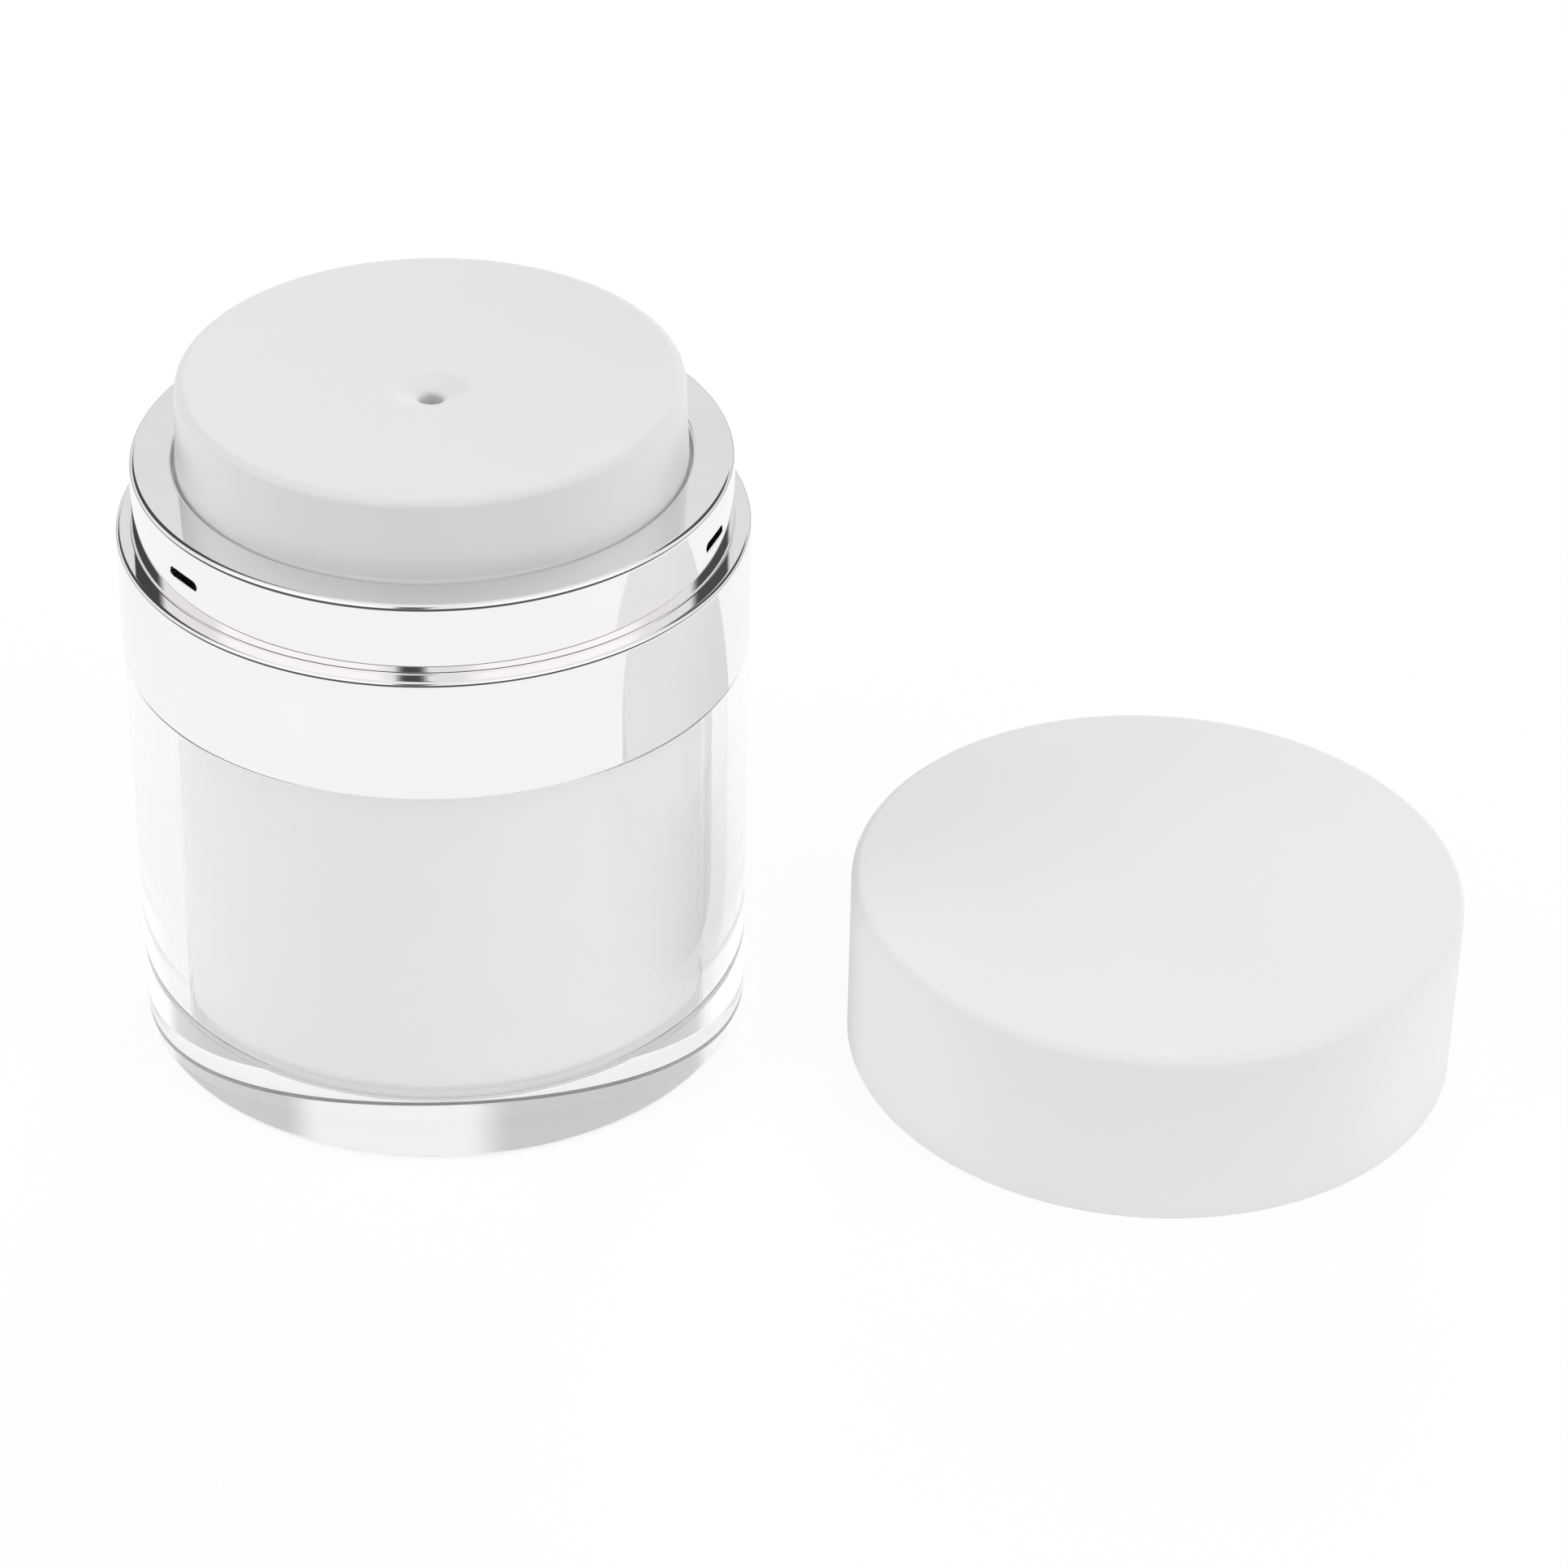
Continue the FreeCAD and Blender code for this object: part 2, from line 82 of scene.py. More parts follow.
def turn_angle(name, description, degrees):
    """Property for an angle, given in degrees and kept in radians."""
    return FloatProperty(
        name=name, description=description, default=math.radians(degrees), unit="ROTATION", subtype="ANGLE")


def share(name, description, value):
    """Property for a plain number from nought upwards."""
    return FloatProperty(name=name, description=description, default=value, min=0.0, subtype="FACTOR")


def colour(name, description, value):
    """Property for a linear colour."""
    return FloatVectorProperty(
        name=name, description=description, default=value, size=3, min=0.0, max=1.0, subtype="COLOR")


def bottom(node, axis):
    """Lowest coordinate of a frame node along an axis."""
    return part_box(node)[0][axis]


def top(node, axis):
    """Highest coordinate of a frame node along an axis."""
    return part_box(node)[1][axis]


class JarSizes(bpy.types.PropertyGroup):
    """Clear jar and the white cup in it"""

    neck_radius: length("Neck radius", "Outside of the neck under its thread", 28.2)
    bore_radius: length("Bore radius", "Inside of the clear jar", 26.6)
    base_thickness: length("Base thickness", "Clear base under the cup", 5.0)
    heel_radius: length("Heel radius", "Rounding at the jar's foot", 0.8)
    bore_heel_radius: length("Bore heel radius", "Rounding at the bottom of the bore", 1.6)
    edge_radius: length("Edge radius", "Rounding of the shoulder and the rims", 0.3)
    thread_height: length("Thread height", "How far the thread stands out of the neck", 0.6)
    thread_width: length("Thread width", "Width of the thread's ridge at half its height", 1.0)
    thread_pitch: length("Thread pitch", "Rise of the thread in one turn", 2.6)
    thread_start: length("Thread start", "Height of the thread's lower end above the shoulder", 1.5)
    thread_turns: share("Thread turns", "Turns from the thread's start to its end", 1.5)
    cup_radius: length("Cup radius", "Outside of the white cup", 26.2)
    cup_wall: length("Cup wall", "Thickness of the cup's wall and floor", 1.2)
    cup_heel: length("Cup heel", "Rounding at the cup's foot", 2.0)
    vent_radius: length("Vent radius", "Air hole in the cup's floor", 0.8)
    vent_offset: length("Vent offset", "Distance of the air hole from the axis", 12.0)


class CollarSizes(bpy.types.PropertyGroup):
    """Mirror-silver collar"""

    band_height: length("Band height", "Height of the lower band up to the ledge", 13.0)
    ledge_width: length("Ledge width", "Width of the ledge between the two bands", 1.7)
    ring_width: length("Top ring width", "Width of the flat ring round the plate", 4.1)
    lower_wall: length("Lower wall", "Wall of the lower band", 1.0)
    upper_wall: length("Upper wall", "Wall of the upper band", 1.1)
    ledge_thickness: length("Ledge thickness", "Thickness under the ledge", 1.2)
    lip_thickness: length("Lip thickness", "Thickness of the top ring", 1.1)
    top_edge: length("Top edge", "Rounding of the upper band's top edge", 0.6)
    ledge_edge: length("Ledge edge", "Rounding of the ledge's outer edge", 0.5)
    ledge_corner: length("Ledge corner", "Hollow rounding where the upper band meets the ledge", 0.2)
    small_edge: length("Small edge", "Rounding of the other edges", 0.3)
    slot_length: length("Slot length", "Length of the slots for the lid's lugs", 4.4)
    slot_height: length("Slot height", "Height of the slots", 1.0)
    slot_rise: length("Slot rise", "Height of the slots' middle above the ledge", 3.55)
    slot_bevel: length("Slot bevel", "Bevel round each slot", 0.12)
    slot_count: IntProperty(name="Slots", description="Number of slots round the band", default=3, min=1)
    slot_angle: turn_angle("Slot angle", "Direction of the first slot from +X", -134.0)


class PlateSizes(bpy.types.PropertyGroup):
    """White plate that is pressed to pump"""

    skirt_radius: length("Skirt radius", "Outside of the skirt where it enters the collar", 24.9)
    draft: length("Draft", "How much the skirt narrows towards the top", 0.4)
    wall: length("Wall", "Wall of the skirt", 1.3)
    thickness: length("Thickness", "Thickness of the plate", 1.8)
    edge_radius: length("Edge radius", "Rounding of the top edge", 1.0)
    corner_rise: length("Corner rise", "Height of the edge's sharp corner above its rounded top", 0.175)
    hollow: length("Hollow", "How far the top sinks from the edge to the middle", 2.0)
    hollow_turn_rise: length("Hollow turn rise", "Rise of the hollow's flatter inner half", 0.25)
    hollow_turn_radius: length("Hollow turn radius", "Rounding between the hollow's two halves", 90.0)
    catch_height: length("Catch height", "Height of the catch that holds it under the collar", 0.7)
    dimple_radius: length("Dimple radius", "Radius of the hollow round the outlet", 3.6)
    dimple_depth: length("Dimple depth", "Depth of the hollow round the outlet", 0.8)
    dimple_rim: length("Dimple rim", "Rounding of the hollow's rim", 3.0)
    outlet_radius: length("Outlet radius", "Radius of the outlet", 1.2)
    outlet_edge: length("Outlet edge", "Rounding of the outlet's edge", 0.8)
    spigot_radius: length("Spigot radius", "Outside of the spigot in the stem", 2.6)
    spigot_length: length("Spigot length", "Length of the spigot", 3.6)
    guide_radius: length("Guide radius", "Inside of the ring that goes over the pump's cap", 8.5)
    guide_wall: length("Guide wall", "Wall of that ring", 0.8)
    guide_depth: length("Guide depth", "Depth of that ring", 2.0)
    rib_count: IntProperty(name="Ribs", description="Number of ribs under the plate", default=6, min=0)
    rib_thickness: length("Rib thickness", "Thickness of the ribs", 1.0)
    rib_depth: length("Rib depth", "Depth of the ribs at the skirt", 3.6)
    rib_start: length("Rib start", "Distance of the ribs' inner ends from the axis", 11.3)


class LidSizes(bpy.types.PropertyGroup):
    """White lid that stands beside the jar"""

    bore_radius: length("Bore radius", "Inside of the lid", 29.6)
    roof: length("Roof", "Thickness of the lid's roof", 1.5)
    edge_radius: length("Edge radius", "Rounding of the top edge", 1.0)
    rim_radius: length("Rim radius", "Rounding of the rim it stands on", 0.3)
    lug_reach: length("Lug reach", "How far the lugs stand into the bore", 0.5)
    lug_height: length("Lug height", "Height of the lugs", 0.8)
    lug_length: length("Lug length", "Length of the lugs", 3.6)


class SpringSizes(bpy.types.PropertyGroup):
    """Steel spring under the plate"""

    wire_radius: length("Wire radius", "Radius of the wire", 0.55)
    end_pitch: length("End pitch", "Rise of the first and the last turn", 1.6)
    turns: IntProperty(name="Turns", description="Number of turns", default=8, min=3)


class Finishes(bpy.types.PropertyGroup):
    """Colours and gloss of the pieces"""

    acrylic: colour("Acrylic", "Tint of the clear jar", (0.985, 0.99, 0.99))
    silver: colour("Silver", "Mirror coat of the collar", (0.915, 0.898, 0.902))
    cup: colour("Cup", "White of the inner cup", (0.80, 0.795, 0.78))
    plate: colour("Plate", "White of the push plate", (0.78, 0.78, 0.79))
    lid: colour("Lid", "White of the lid", (0.81, 0.80, 0.80))
    closure: colour("Closure", "White of the pump's moulded pieces", (0.80, 0.80, 0.79))
    seal: colour("Seal", "Milky white of the wipers and valves", (0.78, 0.79, 0.79))
    gasket: colour("Gasket", "Pale grey of the gaskets", (0.55, 0.55, 0.55))
    steel: colour("Steel", "Drawn wire of the spring", (0.56, 0.56, 0.57))


class Studio(bpy.types.PropertyGroup):
    """Camera, floor and light"""

    aim: FloatVectorProperty(
        name="Aim", description="Point that the camera looks at", size=3,
        default=(0.034452, 0.003311, 0.025032), precision=5, unit="LENGTH", subtype="TRANSLATION")
    azimuth: turn_angle("Azimuth", "Direction of the camera round the jar", 5.49)
    elevation: turn_angle("Elevation", "Height of the camera above the horizon", 33.684)
    roll: turn_angle("Roll", "Tilt of the camera about its line of sight", 1.092)
    distance: length("Distance", "From the camera to the point it looks at", 495.39)
    view_angle: turn_angle("View angle", "Angle that the picture takes in", 18.184)
    floor_size: length("Floor size", "Side of the floor", 8000.0)
    floor_drop: length("Floor drop", "How far the floor lies under the jar's foot", 0.05)
    floor: colour("Floor", "Pale floor", (0.92, 0.92, 0.92))
    floor_white: share("Floor white", "Share of plain white in the floor for the camera and mirrors", 0.9)
    glass_white: share("Glass white", "Share of plain white in the floor behind the clear jar", 0.35)
    glass_sky: share("Glass sky", "Brightness of the studio behind the clear jar", 0.94)
    glass_shade: share("Glass shade", "Share of the dark flags that shows through the clear jar", 0.4)
    sheet_reach: length("Sheet reach", "Radius of the pale sheet on the floor", 620.0)
    sheet_front: length("Sheet front", "From the jar to the sheet's front edge", 165.0)
    mirror_margin: length("Mirror margin", "How much further out mirrors show the sheet", 95.0)
    sky: share("Sky", "Brightness of the soft light from all round", 0.90)


class AirlessJar(bpy.types.PropertyGroup):
    """All settings of the jar"""

    jar: PointerProperty(type=JarSizes, name="Jar", description="Clear jar and cup")
    collar: PointerProperty(type=CollarSizes, name="Collar", description="Silver collar")
    plate: PointerProperty(type=PlateSizes, name="Plate", description="Push plate")
    lid: PointerProperty(type=LidSizes, name="Lid", description="Lid")
    spring: PointerProperty(type=SpringSizes, name="Spring", description="Return spring")
    finishes: PointerProperty(type=Finishes, name="Finishes", description="Colours")
    studio: PointerProperty(type=Studio, name="Studio", description="Camera, floor and light")


# Outlines in the plane of radius and height, and the meshes turned from them

def outline(corners):
    """Bands of a turned surface from (radius, height) or (radius, height, rounding) corners, anticlockwise.

    Each band is (start, start normal, end, end normal). An outline with ends on the axis stays open there.
    """
    points = [np.array(corner[:2], float) for corner in corners]
    rounding = [corner[2] if len(corner) > 2 else 0.0 for corner in corners]
    closed = min(corner[0] for corner in corners) > 0
    count = len(points)
    stretches = []
    for index, point in enumerate(points):
        inwards = direction(points[index - 1], point)
        outwards = direction(point, points[(index + 1) % count])
        if not closed and index in (0, count - 1):
            stretches.append([(point, None)])
        else:
            stretches.append(corner_points(point, inwards, outwards, rounding[index]))
    bands = []
    for index, stretch in enumerate(stretches):
        for (start, start_normal), (end, end_normal) in zip(stretch, stretch[1:]):
            bands.append((start, start_normal, end, end_normal))
        if closed or index < count - 1:
            start = stretch[-1][0]
            end = stretches[(index + 1) % count][0][0]
            normal = right_of(direction(start, end))
            bands.append((start, normal, end, normal))
    return bands


def direction(start, end):
    """Unit vector from one point to another."""
    span = end - start
    return span / np.linalg.norm(span)


def right_of(along):
    """Vector to the right of a direction, which is outwards on an anticlockwise outline."""
    return np.array((along[1], -along[0]))


def corner_points(corner, inwards, outwards, radius):
    """Points and normals along a corner, as an arc where it has a radius."""
    if radius == 0:
        return [(corner, None)]
    turn = math.atan2(inwards[0] * outwards[1] - inwards[1] * outwards[0], inwards @ outwards)
    side = math.copysign(1.0, turn)
    start = corner - inwards * radius * math.tan(abs(turn) / 2)
    centre = start - right_of(inwards) * radius * side
    steps = max(FEWEST_STEPS, round(CORNER_STEPS * abs(turn) / (math.pi / 2)))
    points = []
    for step in range(steps + 1):
        angle = turn * step / steps
        cos, sin = math.cos(angle), math.sin(angle)
        along = np.array((inwards[0] * cos - inwards[1] * sin, inwards[0] * sin + inwards[1] * cos))
        normal = right_of(along)
        points.append((centre + normal * radius * side, normal))
    return points


def turned(name, bands, relief=None):
    """Object turned about the Z axis from an outline. relief(angles, radius, height) adds to the radius."""
    stations = [band[0] for band in bands]
    if not np.allclose(bands[-1][2], stations[0]):
        stations.append(bands[-1][2])
    angles = np.arange(ROUND_SEGMENTS) * 2 * math.pi / ROUND_SEGMENTS
    vertices = []
    rings = []
    for radius, height in stations:
        first = len(vertices)
        around = angles[:1] if radius < AXIS_LIMIT else angles
        radii = radius + (relief(around, radius, height) if relief else np.zeros(len(around)))
        vertices += [(r * math.cos(a), r * math.sin(a), height) for r, a in zip(radii, around)]
        rings.append([first + index % len(around) for index in range(ROUND_SEGMENTS)])
    faces = []
    for index in range(len(bands)):
        lower, upper = rings[index], rings[(index + 1) % len(rings)]
        for here in range(ROUND_SEGMENTS):
            after = (here + 1) % ROUND_SEGMENTS
            corners = (lower[here], lower[after], upper[after], upper[here])
            faces.append(tuple(dict.fromkeys(corners)))
    return mesh_object(name, vertices, faces)


def mesh_object(name, vertices, faces):
    """New object in the scene from vertices and faces."""
    mesh = bpy.data.meshes.new(name)
    mesh.from_pydata(vertices, [], faces)
    mesh.validate()
    thing = bpy.data.objects.new(name, mesh)
    bpy.context.scene.collection.objects.link(thing)
    return thing


def mesh_numbers(items, field, width):
    """One field of a mesh's items as an array."""
    values = np.empty(len(items) * width, np.float64 if width > 1 else np.int64)
    items.foreach_get(field, values)
    return values.reshape(-1, width) if width > 1 else values


def at_corners(mesh, items, field):
    """A field of a mesh's vertices, taken at each corner of its faces."""
    return mesh_numbers(items, field, 3)[mesh_numbers(mesh.loops, "vertex_index", 1)]


def smooth(thing, bands, centre=0.0):
    """Gives each face on the turned outline its exact normals, and leaves the other faces flat."""
    mesh = thing.data
    shift = np.array((centre, 0, 0))
    middles = mesh_numbers(mesh.polygons, "center", 3) - shift
    facing = mesh_numbers(mesh.polygons, "normal", 3)
    corners = at_corners(mesh, mesh.vertices, "co") - shift
    sizes = mesh_numbers(mesh.polygons, "loop_total", 1)
    starts, start_normals, ends, end_normals = (np.array(part) for part in zip(*bands_with_normals(bands)))
    spans = ends - starts
    reach = (spans ** 2).sum(1)
    radius = np.hypot(middles[:, 0], middles[:, 1])
    flat = np.stack((radius, middles[:, 2]), 1)
    along = (((flat[:, None] - starts) * spans).sum(2) / reach).clip(0, 1)
    gap = np.linalg.norm(flat[:, None] - starts - along[..., None] * spans, axis=2)
    nearest = gap.argmin(1)
    outward = (middles[:, :2] * facing[:, :2]).sum(1) / np.maximum(radius, AXIS_LIMIT)
    band_normals = (start_normals + end_normals)[nearest] / 2
    agrees = outward * band_normals[:, 0] + facing[:, 2] * band_normals[:, 1] > LEAST_AGREEMENT
    on_outline = (gap.min(1) < ON_OUTLINE) & agrees
    band = np.repeat(nearest, sizes)
    corner_radius = np.hypot(corners[:, 0], corners[:, 1])
    corner_flat = np.stack((corner_radius, corners[:, 2]), 1)
    part = (((corner_flat - starts[band]) * spans[band]).sum(1) / reach[band]).clip(0, 1)[:, None]
    normal = start_normals[band] * (1 - part) + end_normals[band] * part
    round_about = corners[:, :2] / np.maximum(corner_radius, AXIS_LIMIT)[:, None]
    exact = np.column_stack((round_about * normal[:, :1], normal[:, 1]))
    exact /= np.linalg.norm(exact, axis=1)[:, None]
    normals = np.where(np.repeat(on_outline, sizes)[:, None], exact, np.repeat(facing, sizes, axis=0))
    mesh.shade_smooth()
    mesh.normals_split_custom_set(normals.tolist())
    return thing


def bands_with_normals(bands):
    """The bands with a normal at both ends, taken from the band itself where a corner is sharp."""
    for start, start_normal, end, end_normal in bands:
        across = right_of(direction(start, end))
        yield (start, across if start_normal is None else start_normal,
               end, across if end_normal is None else end_normal)


def combine(thing, tool, operation):
    """Cuts a tool out of an object, or joins it on, and removes the tool."""
    step = thing.modifiers.new(tool.name, "BOOLEAN")
    step.operation = operation
    step.solver = "EXACT"
    step.object = tool
    graph = bpy.context.evaluated_depsgraph_get()
    mesh = bpy.data.meshes.new_from_object(thing.evaluated_get(graph))
    thing.modifiers.clear()
    thing.data = mesh
    mesh.name = thing.name
    bpy.data.objects.remove(tool)
    return thing


def lofted(name, rings):
    """Closed object through rings of points with equal counts, capped at both ends."""
    count = len(rings[0])
    vertices = [point for ring in rings for point in ring]
    faces = [tuple(reversed(range(count)))]
    for ring in range(len(rings) - 1):
        for here in range(count):
            after = (here + 1) % count
            low, high = ring * count, (ring + 1) * count
            faces.append((low + here, low + after, high + after, high + here))
    faces.append(tuple(range(len(vertices) - count, len(vertices))))
    return mesh_object(name, vertices, faces)


def copies_around(thing, count, first_angle):
    """Joins copies of an object that are spread evenly about the Z axis into one object."""
    mesh = thing.data
    vertices = mesh_numbers(mesh.vertices, "co", 3)
    faces = [tuple(face.vertices) for face in mesh.polygons]
    all_vertices = []
    all_faces = []
    for index in range(count):
        angle = first_angle + index * 2 * math.pi / count
        turn = np.array(Matrix.Rotation(angle, 3, "Z"))
        all_faces += [tuple(corner + len(all_vertices) for corner in face) for face in faces]
        all_vertices += (vertices @ turn.T).tolist()
    name = thing.name + "_set"
    bpy.data.objects.remove(thing)
    return mesh_object(name, all_vertices, all_faces)


def place(thing, offset):
    """Moves an object's mesh along X."""
    thing.data.transform(Matrix.Translation((offset, 0, 0)))
    return thing


# Materials

def node_of(tree, kind, **settings):
    """New node with its inputs set by name and its other settings by attribute."""
    node = tree.nodes.new(kind)
    for name, value in settings.items():
        socket = name.replace("_", " ").title()
        if hasattr(node, name):
            setattr(node, name, value)
        else:
            node.inputs[socket].default_value = value
    return node


def new_finish(name, **settings):
    """Material with one principled shader, its sockets set by name, and the object's own coordinates."""
    material = bpy.data.materials.new(name)
    material.use_nodes = True
    tree = material.node_tree
    shader = tree.nodes["Principled BSDF"]
    for socket, value in settings.items():
        shader.inputs[socket.replace("_", " ")].default_value = value
    place_in = tree.nodes.new("ShaderNodeTexCoord").outputs["Object"]
    return material, tree, shader, place_in


def noise(tree, place_in, size, detail=2.0):
    """Cloudy pattern whose patches are about one size across, in metres."""
    node = node_of(tree, "ShaderNodeTexNoise", Scale=1 / size, Detail=detail)
    tree.links.new(place_in, node.inputs["Vector"])
    return node.outputs["Fac"]


def vary_colour(tree, shader, pattern, tint, spread):
    """Lets a pattern carry the base colour a little under and over its tint."""
    ramp = tree.nodes.new("ShaderNodeValToRGB")
    factors = (1 - spread, 1 + spread)
    for stop, position, factor in zip(ramp.color_ramp.elements, PATTERN_SPAN, factors):
        stop.position = position
        stop.color = (*[min(1.0, part * factor) for part in tint], 1)
    tree.links.new(pattern, ramp.inputs["Fac"])
    tree.links.new(ramp.outputs["Color"], shader.inputs["Base Color"])


def vary_roughness(tree, shader, pattern, least, most):
    """Lets a pattern carry the roughness between two values."""
    low, high = PATTERN_SPAN
    span = node_of(tree, "ShaderNodeMapRange", From_Min=low, From_Max=high, To_Min=least, To_Max=most)
    tree.links.new(pattern, span.inputs["Value"])
    tree.links.new(span.outputs["Result"], shader.inputs["Roughness"])


def raise_surface(tree, shader, pattern, height, strength):
    """Bump from a pattern of a given height in metres."""
    bump = node_of(tree, "ShaderNodeBump", Strength=strength, Distance=height)
    tree.links.new(pattern, bump.inputs["Height"])
    tree.links.new(bump.outputs["Normal"], shader.inputs["Normal"])


def clear_acrylic(tint):
    """Polished clear plastic with the faintest flow waves from the mould."""
    material, tree, shader, place_in = new_finish(
        "clear_acrylic", Transmission_Weight=1.0, IOR=1.49, Roughness=0.0)
    vary_colour(tree, shader, noise(tree, place_in, 14 * MM), tint, 0.004)
    raise_surface(tree, shader, noise(tree, place_in, 22 * MM, 0.0), 0.01 * MM, 0.2)
    return material


def mirror_silver(tint):
    """Bright metallized coat with a trace of ripple and haze."""
    material, tree, shader, place_in = new_finish("mirror_silver", Metallic=1.0)
    vary_colour(tree, shader, noise(tree, place_in, 8 * MM), tint, 0.01)
    vary_roughness(tree, shader, noise(tree, place_in, 3 * MM, 4.0), 0.02, 0.05)
    raise_surface(tree, shader, noise(tree, place_in, 6 * MM, 1.0), 0.004 * MM, 0.2)
    return material


def moulded_plastic(name, tint, gloss, grain, grain_height):
    """Moulded plastic: clouded tone, uneven gloss and a fine grain."""
    material, tree, shader, place_in = new_finish(name, IOR=1.49)
    vary_colour(tree, shader, noise(tree, place_in, 11 * MM, 3.0), tint, 0.005)
    vary_roughness(tree, shader, noise(tree, place_in, 5 * MM, 3.0), *gloss)
    raise_surface(tree, shader, noise(tree, place_in, grain, 3.0), grain_height, 0.5)
    return material


def drawn_steel(tint):
    """Drawn spring wire with fine streaks."""
    material, tree, shader, place_in = new_finish("spring_steel", Metallic=1.0)
    streaks = noise(tree, place_in, 0.25 * MM, 4.0)
    vary_colour(tree, shader, streaks, tint, 0.08)
    vary_roughness(tree, shader, streaks, 0.2, 0.38)
    raise_surface(tree, shader, streaks, 0.01 * MM, 0.3)
    return material


def soft_rubber(tint):
    """Matte rubber with a dusty speckle."""
    material, tree, shader, place_in = new_finish("gasket_rubber", Sheen_Weight=0.15, IOR=1.52)
    speckle = noise(tree, place_in, 0.4 * MM, 5.0)
    vary_colour(tree, shader, speckle, tint, 0.06)
    vary_roughness(tree, shader, speckle, 0.6, 0.8)
    raise_surface(tree, shader, speckle, 0.01 * MM, 0.5)
    return material


def finish_piece(thing, body, slot, material, *nodes):
    """Gives a new piece its material and its body, and hides the frame nodes that it stands for. The slot is
    not used.
    """
    thing.data.materials.clear()
    thing.data.materials.append(material)
    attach(thing, body)
    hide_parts(*nodes)


def dress_nodes(material, *nodes):
    """Puts a material on frame nodes whose own shape stays."""
    for name in nodes:
        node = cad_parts[name]
        for slot in node.material_slots:
            slot.link = "OBJECT"
            slot.material = material


# Shapes of the pieces

def jar_outline(sizes):
    """Clear jar from the middle of its foot round to the middle of its inner floor."""
    radius = top("outer_jar", Y)
    shoulder = bottom("collar", Z)
    rim = top("outer_jar", Z)
    levels = np.linspace(shoulder, rim - sizes.edge_radius, NECK_RINGS)[1:-1]
    neck = [(sizes.neck_radius, level) for level in levels]
    return outline([
        (0, 0),
        (radius, 0, sizes.heel_radius),
        (radius, shoulder, sizes.edge_radius),
        (sizes.neck_radius, shoulder),
        *neck,
        (sizes.neck_radius, rim, sizes.edge_radius),
        (sizes.bore_radius, rim, sizes.edge_radius),
        (sizes.bore_radius, sizes.base_thickness, sizes.bore_heel_radius),
        (0, sizes.base_thickness),
    ])


def thread_relief(sizes):
    """Height of the neck's screw thread as a function of angle, radius and height."""
    start = bottom("collar", Z) + sizes.thread_start
    run_out = 0.12

    def relief(angles, radius, height):
        if abs(radius - sizes.neck_radius) > ON_OUTLINE:
            return np.zeros(len(angles))
        ridge = np.zeros(len(angles))
        for lap in range(math.ceil(sizes.thread_turns) + 1):
            turns = angles / (2 * math.pi) + lap
            off = abs(height - start - turns * sizes.thread_pitch) / sizes.thread_width
            shape = np.clip(1.5 - 2 * off, 0, 1)
            ends = np.clip(np.minimum(turns, sizes.thread_turns - turns) / run_out, 0, 1)
            ridge = np.maximum(ridge, shape * shape * (3 - 2 * shape) * ends)
        return ridge * sizes.thread_height

    return relief


def smooth_thread(thing, sizes):
    """Lets the threaded neck take the normals of its own mesh, beside the exact ones of the rest."""
    mesh = thing.data
    spots = at_corners(mesh, mesh.vertices, "co")
    own = at_corners(mesh, mesh.vertex_normals, "vector")
    exact = mesh_numbers(mesh.corner_normals, "vector", 3)
    margin = 2 * sizes.edge_radius
    low = bottom("collar", Z) + margin
    high = top("outer_jar", Z) - margin
    outside = np.hypot(spots[:, 0], spots[:, 1]) > sizes.neck_radius - ON_OUTLINE
    threaded = outside & (spots[:, 2] > low) & (spots[:, 2] < high)
    mesh.normals_split_custom_set(np.where(threaded[:, None], own, exact).tolist())


def cup_outline(sizes):
    """White cup that hangs in the jar by its flange."""
    floor = bottom("inner_cup", Z)
    rim = top("inner_cup", Z)
    flange = top("inner_cup", Y)
    seat = top("outer_jar", Z)
    inside = sizes.cup_radius - sizes.cup_wall
    return outline([
        (0, floor),
        (sizes.cup_radius, floor, sizes.cup_heel),
        (sizes.cup_radius, seat),
        (flange, seat),
        (flange, rim, sizes.edge_radius / 2),
        (inside, rim, sizes.edge_radius),
        (inside, floor + sizes.cup_wall, sizes.cup_heel - sizes.cup_wall),
        (0, floor + sizes.cup_wall),
    ])


def vent_tool(sizes):
    """Cutter for the air hole in the cup's floor."""
    floor = bottom("inner_cup", Z)
    tool = turned("vent", outline([
        (0, floor - sizes.cup_wall),
        (sizes.vent_radius, floor - sizes.cup_wall),
        (sizes.vent_radius, floor + 2 * sizes.cup_wall),
        (0, floor + 2 * sizes.cup_wall),
    ]))
    return place(tool, sizes.vent_offset)


def collar_outline(sizes):
    """Collar: lower band, ledge, upper band and top ring, and the hollow behind them."""
    radius = top("collar", Y)
    seam = bottom("collar", Z)
    rim = top("collar", Z)
    ledge = seam + sizes.band_height
    upper = radius - sizes.ledge_width
    opening = upper - sizes.ring_width
    lip = rim - sizes.lip_thickness
    inner_upper = upper - sizes.upper_wall
    inner_lower = radius - sizes.lower_wall
    return outline([
        (radius, seam, sizes.small_edge),
        (radius, ledge, sizes.ledge_edge),
        (upper, ledge, sizes.ledge_corner),
        (upper, rim, sizes.top_edge),
        (opening, rim, sizes.small_edge),
        (opening, lip, sizes.small_edge),
        (inner_upper, lip, sizes.small_edge),
        (inner_upper, ledge - sizes.ledge_thickness),
        (inner_lower, ledge - sizes.ledge_thickness),
        (inner_lower, seam, sizes.small_edge),
    ])


